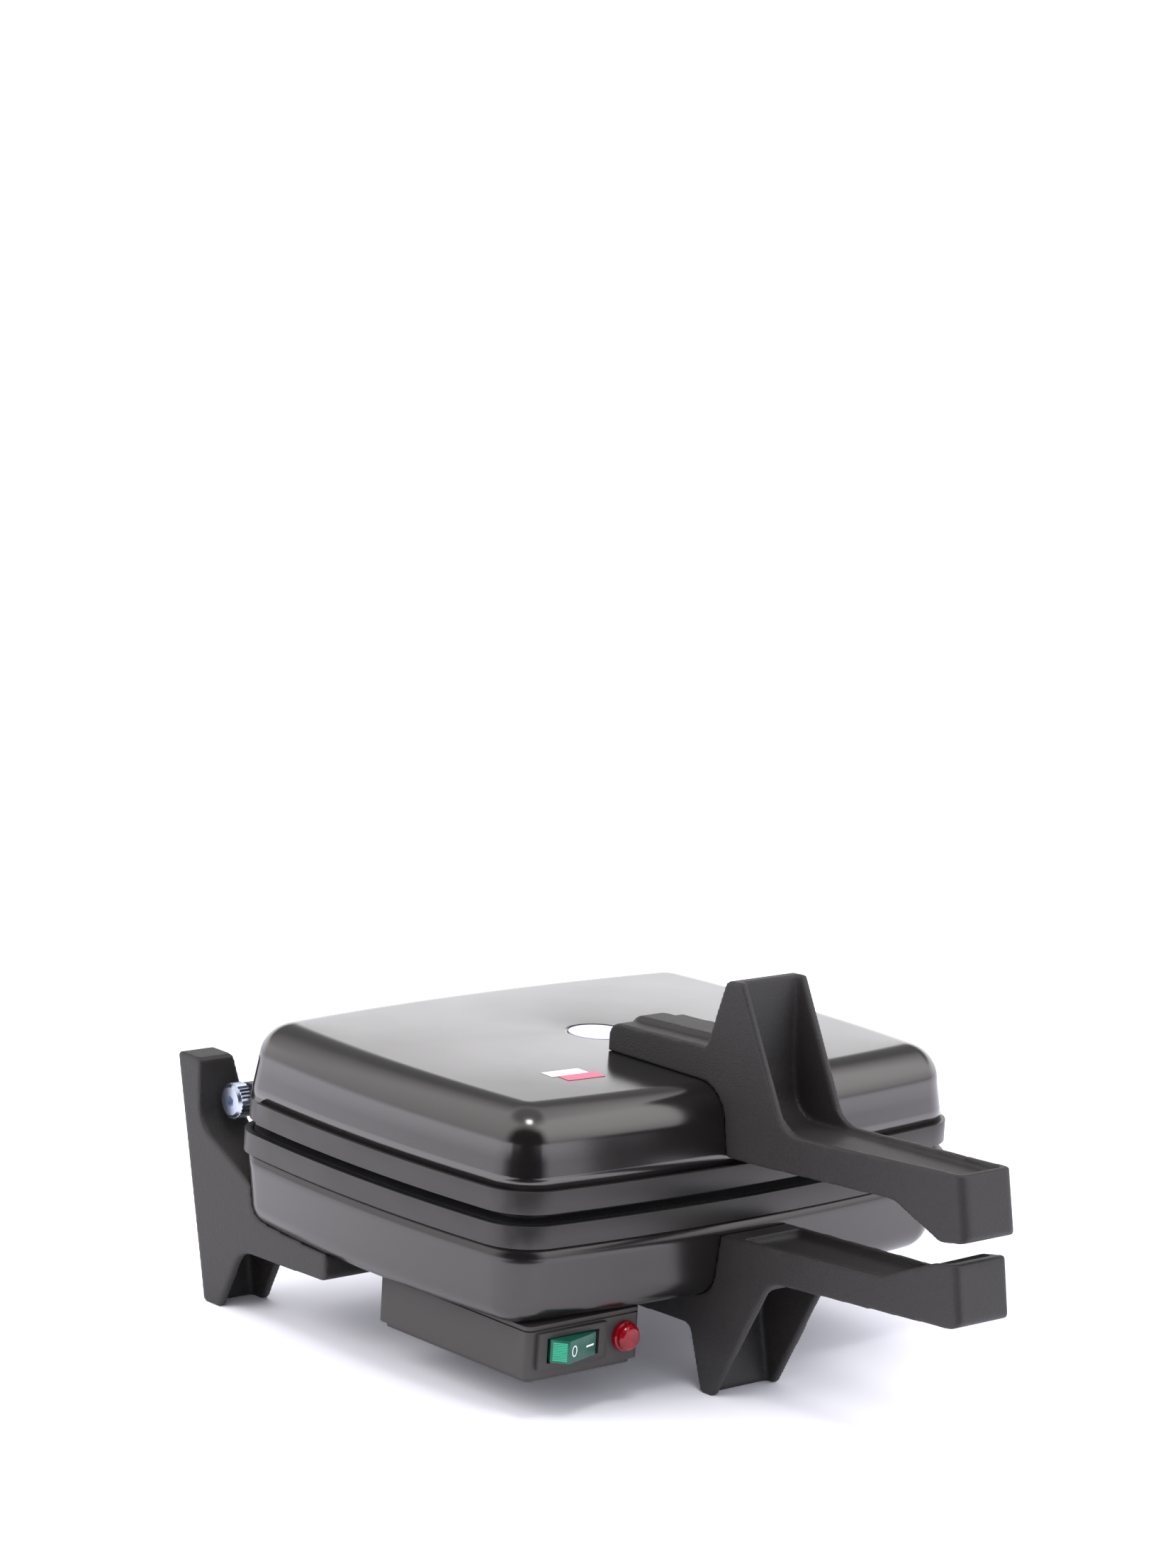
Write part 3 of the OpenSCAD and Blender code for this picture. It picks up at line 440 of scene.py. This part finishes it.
def bar_mesh(bm, low, high, matrix):
    """A box between the corners low and high, moved by matrix."""
    made = bmesh.ops.create_cube(bm, size=1.0)["verts"]
    for v in made:
        v.co = [a + (c + 0.5) * (b - a) for a, b, c in zip(low, high, v.co)]
    bmesh.ops.transform(bm, matrix=matrix, verts=made)


def rocker_marks():
    """A ring and a bar printed on the rocker's front."""
    steps, stroke = 48, 0.42 * MM
    ring_x, ring_half_x, ring_half_z = -5.2 * MM, 1.55 * MM, 2.05 * MM
    bar_start, bar_end, bar_half_z = 2.2 * MM, 6.8 * MM, 0.33 * MM
    back_y, front_y = -RIDGE_OUT + 0.02 * MM, -RIDGE_OUT - 0.05 * MM
    turns = [2 * math.pi * i / steps for i in range(steps)]
    bm = bmesh.new()
    outer_back, outer_front, inner_back, inner_front = [
        [bm.verts.new((ring_x + (ring_half_x + grow) * math.cos(a), y,
                       (ring_half_z + grow) * math.sin(a))) for a in turns]
        for grow in (0, -stroke) for y in (back_y, front_y)]
    skin_all(bm, [outer_back, outer_front, inner_front, inner_back, outer_back])
    bmesh.ops.transform(bm, matrix=TILT, verts=bm.verts)
    bar_mesh(bm, (bar_start, front_y, -bar_half_z), (bar_end, back_y, bar_half_z), TILT)
    bmesh.ops.recalc_face_normals(bm, faces=bm.faces)
    return add_object("rocker_marks", bm, smooth=False)


def rocker_ribs(side):
    """Fine ribs across one sloping end of the rocker, on the left for -1 and the right for 1."""
    count, half_share = 11, 0.36
    margin_z, margin_ridge, margin_foot = 0.8 * MM, 0.8 * MM, 0.9 * MM
    sink, rise = 0.05 * MM, 0.12 * MM
    ridge, foot = Vector((side * RIDGE_X, -RIDGE_OUT, 0)), Vector((side * END_X, END_IN, 0))
    length = (foot - ridge).length
    along = (foot - ridge).normalized()
    out = Vector((along.y, -along.x, 0)) * side
    axes = Matrix((along, out, Vector((0, 0, 1)))).transposed().to_4x4()
    place = TILT @ Matrix.Translation(ridge) @ axes
    pitch = (ROCKER_H - 2 * margin_z) / count
    bm = bmesh.new()
    for i in range(count):
        z = -ROCKER_H / 2 + margin_z + pitch * (i + 0.5)
        bar_mesh(bm, (margin_ridge, -sink, z - pitch * half_share),
                 (length - margin_foot, rise, z + pitch * half_share), place)
    bmesh.ops.recalc_face_normals(bm, faces=bm.faces)
    return add_object("rocker_ribs_" + ("left" if side < 0 else "right"), bm, smooth=False)


finish_piece(rocker_marks(), "rocker", "label", PRINT)
for side in (-1, 1):
    # The ribs carry the rocker's green painted lighter, as lit
    finish_piece(rocker_ribs(side), "rocker", "rocker_green", GREEN_PAINTED_LIT)

# ------------------------------------------------ label in two colours
label_low, label_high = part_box("lid_label")
LABEL_TURN = (Matrix.Translation((label_low + label_high) / 2)
              @ Matrix.Rotation(math.radians(-4), 4, "Z"))
LABEL_HALF = Vector((9.4 * MM, 6.7 * MM, (label_high.z - label_low.z) / 2))
LABEL_STEP = 1.2 * MM  # how far each half is moved to its side
# The second half stands for no CAD node, because the first one already does
for name, material, side, near, far, replaced in (
        ("label_front", LABEL_RED, 1, -1, 0, ["lid_label"]),
        ("label_rear", LABEL_WHITE, -1, 0, 1, [])):
    bm = bmesh.new()
    bar_mesh(bm, (-LABEL_HALF.x + LABEL_STEP + LABEL_STEP * side, LABEL_HALF.y * near,
                  -LABEL_HALF.z),
             (LABEL_HALF.x - LABEL_STEP + LABEL_STEP * side, LABEL_HALF.y * far,
              LABEL_HALF.z), LABEL_TURN)
    finish_piece(add_object(name, bm, smooth=False), "lid", "label", material, *replaced)

# ------------------------------------------------ CAD nodes that stay, with their finish
KEPT = {
    "upper_plate": PLATE_COAT, "lower_plate": PLATE_COAT,
    "upper_element": STEEL, "lower_element": STEEL,
    "upper_clamps": STEEL, "lower_clamps": STEEL,
    "upper_heat_shield": SHIELD, "lower_heat_shield": SHIELD,
    "upper_plate_screws": ZINC, "lower_plate_screws": ZINC,
    "upper_handle_screws": ZINC, "lower_handle_screws": ZINC,
    "rear_leg_screws": ZINC, "control_box_screws": ZINC,
    "thermostat": STEEL, "thermal_fuse": CERAMIC, "terminal_block": CERAMIC,
    "cord_gland": RUBBER, "wire_grommet": RUBBER,
    "lamp_lens": RED, "lamp_body": RED_CORE, "badge_disc": BADGE,
    "hinge_washers": ZINC, "hinge_screw_left": ZINC, "hinge_screw_right": ZINC,
    "plate_lock_screw": ZINC,
}
for name, material in KEPT.items():
    nodes[name].data.materials.clear()
    nodes[name].data.materials.append(material)

# ------------------------------------------------ camera's place and floor
# The camera's pose, fitted to features of the photograph with the part's sizes held fixed
AZIMUTH, ELEVATION, ROLL = math.radians(-41.66), math.radians(9.93), math.radians(3.26)
FOCAL_PX, LONG_SIDE_PX, SENSOR_MM = 6262.6, 2212.0, 36
# Where the camera stands along its own axes, from the floor under the frames' middle
TO_RIGHT, TO_TOP, DISTANCE = 0.79 * MM, 205.91 * MM, 1684.7 * MM


def stage_plane(name, size, location, rotation, material):
    bm = bmesh.new()
    bmesh.ops.create_grid(bm, x_segments=1, y_segments=1, size=0.5)
    obj = add_object(name, bm, smooth=False)
    obj.scale = (size[0], size[1], 1)
    obj.location = location
    obj.rotation_euler = rotation
    obj.data.materials.append(material)
    return obj


floor_paint, floor_shader, floor_tree = new_material("floor_white", (0.93, 0.93, 0.95), 0.9,
                                                     specular=0.05)
floor_clouds = noise(floor_tree, coordinates(floor_tree), scale=1.3)
floor_tree.links.new(blend_colors(floor_tree, floor_clouds, (0.925, 0.925, 0.945),
                                  (0.935, 0.935, 0.95)),
                     floor_shader.inputs["Base Color"])
stage_plane("floor", (90, 90), (0, 0, 0), (0, 0, 0), floor_paint)

# ------------------------------------------------ studio that the reflections see
world = bpy.data.worlds.new("studio")
bpy.context.scene.world = world
world.use_nodes = True
sky = world.node_tree
background = sky.nodes["Background"]
direction = sky.nodes.new("ShaderNodeTexCoord")
parts = sky.nodes.new("ShaderNodeSeparateXYZ")
sky.links.new(direction.outputs["Generated"], parts.inputs["Vector"])

BLUE_LIFT = 1.02
EVEN_LIGHT = (1.36, 1.36, 1.52, 1)
DARK_SIDE = (0.02, 0.02, 0.02, 1)
# Level directions from the object to the camera, and to the camera's right
CAMERA_SIDE = Vector((math.sin(AZIMUTH), -math.cos(AZIMUTH)))
CAMERA_RIGHT = Vector((math.cos(AZIMUTH), math.sin(AZIMUTH)))


def ramp_of(source, stops):
    """Grey levels between stops, each a (place from 0 to 1, level)."""
    ramp = sky.nodes.new("ShaderNodeValToRGB")
    band = ramp.color_ramp
    for element, (position, grey) in zip(band.elements, (stops[0], stops[-1])):
        element.position, element.color = position, (grey, grey, grey * BLUE_LIFT, 1)
    for position, grey in stops[1:-1]:
        band.elements.new(position).color = (grey, grey, grey * BLUE_LIFT, 1)
    sky.links.new(source, ramp.inputs["Fac"])
    return ramp.outputs["Color"]


def sky_set(socket, value):
    """value is a number, a colour or another node's output."""
    if isinstance(value, (int, float, tuple)):
        socket.default_value = value
    else:
        sky.links.new(value, socket)


def sky_math(operation, *values):
    node = sky.nodes.new("ShaderNodeMath")
    node.operation = operation
    for socket, value in zip(node.inputs, values):
        sky_set(socket, value)
    return node


def sky_mix(factor, first, second):
    node = sky.nodes.new("ShaderNodeMix")
    node.data_type = "RGBA"
    for socket, value in (("Factor", factor), ("A", first), ("B", second)):
        sky_set(node.inputs[socket], value)
    return node.outputs["Result"]


def facing(towards, slope, offset):
    """How far a ray points towards a level direction: slope * cosine + offset, from 0 to 1."""
    x_part = sky_math("MULTIPLY", parts.outputs["X"], towards.x)
    cosine = sky_math("MULTIPLY_ADD", parts.outputs["Y"], towards.y, x_part.outputs[0])
    share = sky_math("MULTIPLY_ADD", cosine.outputs[0], slope, offset)
    share.use_clamp = True
    return share.outputs[0]


# A bright wall behind with a darker band over it, a soft box on each side, and a dark side
# where the camera stands
behind = ramp_of(parts.outputs["Z"], [(0.0, 1.85), (0.25, 1.95), (0.37, 0.32), (0.7, 0.32),
                                      (1.0, 0.6)])
left_box = ramp_of(parts.outputs["Z"], [(0.0, 1.0), (0.2, 1.15), (0.5, 1.3), (0.78, 1.4),
                                        (0.92, 0.5), (1.0, 0.5)])
right_box = ramp_of(parts.outputs["Z"], [(0.0, 0.6), (0.1, 1.2), (0.35, 1.7), (0.75, 1.9),
                                         (0.92, 0.5), (1.0, 0.5)])
boxes = sky_mix(facing(CAMERA_RIGHT, 2.0, 0.5), left_box, right_box)
around = sky_mix(facing(CAMERA_SIDE, -3.0, -1.0), boxes, behind)
studio = sky_mix(facing(CAMERA_SIDE, 3.6, -1.7), around, DARK_SIDE)
# All other rays, and so the light on matt surfaces, get an even level
path = sky.nodes.new("ShaderNodeLightPath")
sky.links.new(sky_mix(path.outputs["Is Glossy Ray"], EVEN_LIGHT, studio),
              background.inputs["Color"])
background.inputs["Strength"].default_value = 1.0


# ------------------------------------------------ cards and lights
def flag(name, size, location, rotation, shade):
    """A dark card that only reflections see."""
    card = new_material(name, (shade, shade, shade), 1.0, specular=0)[0]
    obj = stage_plane(name, size, location, rotation, card)
    obj.visible_camera = obj.visible_diffuse = False
    obj.visible_shadow = obj.visible_transmission = False


def area_light(name, location, size, power, color=(1, 1, 1), in_gloss=True):
    """A rectangular light turned to the object."""
    aim = Vector((0, 0, 0.07))
    light = bpy.data.lights.new(name, "AREA")
    light.shape = "RECTANGLE"
    light.size, light.size_y = size
    light.energy = power
    light.color = color
    obj = bpy.data.objects.new(name, light)
    obj.location = location
    obj.rotation_mode = "QUATERNION"
    obj.rotation_quaternion = (aim - Vector(location)).to_track_quat("-Z", "Y")
    obj.visible_glossy = in_gloss
    bpy.context.scene.collection.objects.link(obj)


flag("card_camera", size=(1.3, 0.9), location=(-0.60, -0.67, 0.30),
     rotation=(QUARTER, 0, AZIMUTH), shade=0.01)
# Painted shadow: a dark sheet on the floor in front of the pan that only reflections see, standing
# in for the shade on the floor that the pan's walls reflect
flag("painted_floor_shadow_card", size=(0.40, 0.66), location=(-0.37, -0.41, 0.004),
     rotation=(0, 0, AZIMUTH), shade=0.03)
area_light("overhead", location=(0.2, 0.3, 2.2), size=(2.0, 2.0), power=17,
           color=(1.0, 0.98, 0.93), in_gloss=False)
area_light("key_left", location=(-1.3, 0.2, 1.1), size=(0.9, 0.9), power=8,
           color=(1.0, 0.97, 0.93), in_gloss=False)
area_light("key_front", location=(-0.40, -0.50, 1.45), size=(0.30, 0.30), power=4)

# ------------------------------------------------ camera
right = Vector((math.cos(AZIMUTH), math.sin(AZIMUTH), 0))
back = Vector((math.sin(AZIMUTH) * math.cos(ELEVATION), -math.cos(AZIMUTH) * math.cos(ELEVATION),
               math.sin(ELEVATION)))
up = back.cross(right)
cos_roll, sin_roll = math.cos(ROLL), math.sin(ROLL)
turn = Matrix((right * cos_roll + up * sin_roll, up * cos_roll - right * sin_roll,
               back)).transposed()
stand = turn @ Vector((TO_RIGHT, TO_TOP, DISTANCE)) + Vector((0, MIDDLE.y, 0))
camera_data = bpy.data.cameras.new("camera")
camera_data.sensor_width = SENSOR_MM
camera_data.sensor_fit = "AUTO"
camera_data.lens = FOCAL_PX / LONG_SIDE_PX * SENSOR_MM
camera_data.clip_start, camera_data.clip_end = 0.05, 200
camera = bpy.data.objects.new("camera", camera_data)
camera.matrix_world = Matrix.Translation(stand) @ turn.to_4x4()
bpy.context.scene.collection.objects.link(camera)
bpy.context.scene.camera = camera
bpy.context.scene.view_settings.view_transform = "Standard"
